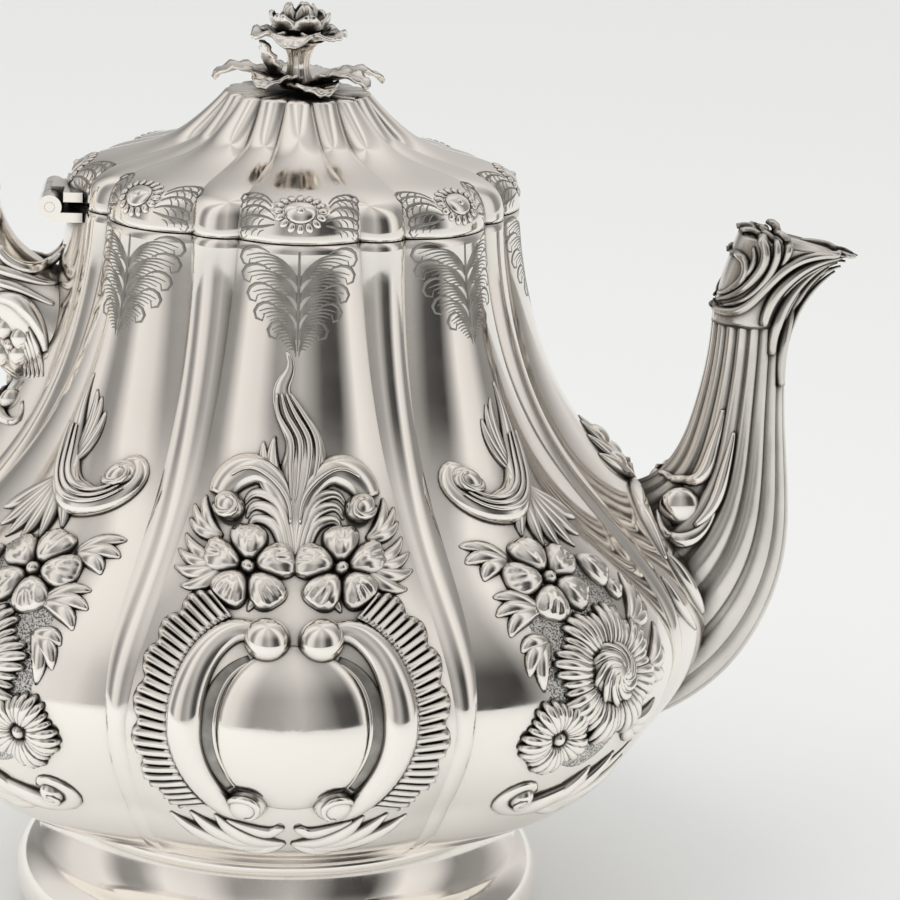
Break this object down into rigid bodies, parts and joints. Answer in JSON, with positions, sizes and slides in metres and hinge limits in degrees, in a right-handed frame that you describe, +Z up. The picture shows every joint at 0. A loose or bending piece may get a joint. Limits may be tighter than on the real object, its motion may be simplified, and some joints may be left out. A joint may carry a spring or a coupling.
{
  "type": "silver coffee pot",
  "caption": "Squat melon-lobed silver pot with a hinged fluted lid, flower finial, reeded swan-neck spout, C-scroll handle and round foot.",
  "frame": {"origin": "on the pot's axis, in the plane that the foot stands on", "axes": "+Z up, +X towards the spout, the handle and the lid's hinge at -X"},
  "size_m": [0.2182, 0.1638, 0.1772],
  "materials": {
    "silver": "bright polished silver with dark recesses in the ornament",
    "ivory": "polished ivory-coloured discs and rivets"
  },
  "bodies": {
    "pot": {"body_shell": "silver", "foot": "silver", "foot_rim": "silver", "hinge_body_leaf": "silver", "hinge_pin": "silver", "spout": "silver", "spout_mouth": "silver", "upper_handle_socket": "silver", "lower_handle_socket": "silver", "upper_insulator": "ivory", "lower_insulator": "ivory", "insulator_pins": "ivory", "handle_grip": "silver"},
    "lid": {"lid_dome": "silver", "lid_bezel": "silver", "finial_leaves": "silver", "finial_stem": "silver", "finial_bloom": "silver", "finial_washer": "silver", "finial_nut": "silver", "hinge_lid_leaf": "silver"}
  },
  "joints": [
    {"name": "lid_hinge", "type": "hinge", "parent": "pot", "child": "lid", "pos_m": [-0.0452, 0, 0.1406], "axis": [0, -1, 0], "range_deg": [0, 95]}
  ]
}
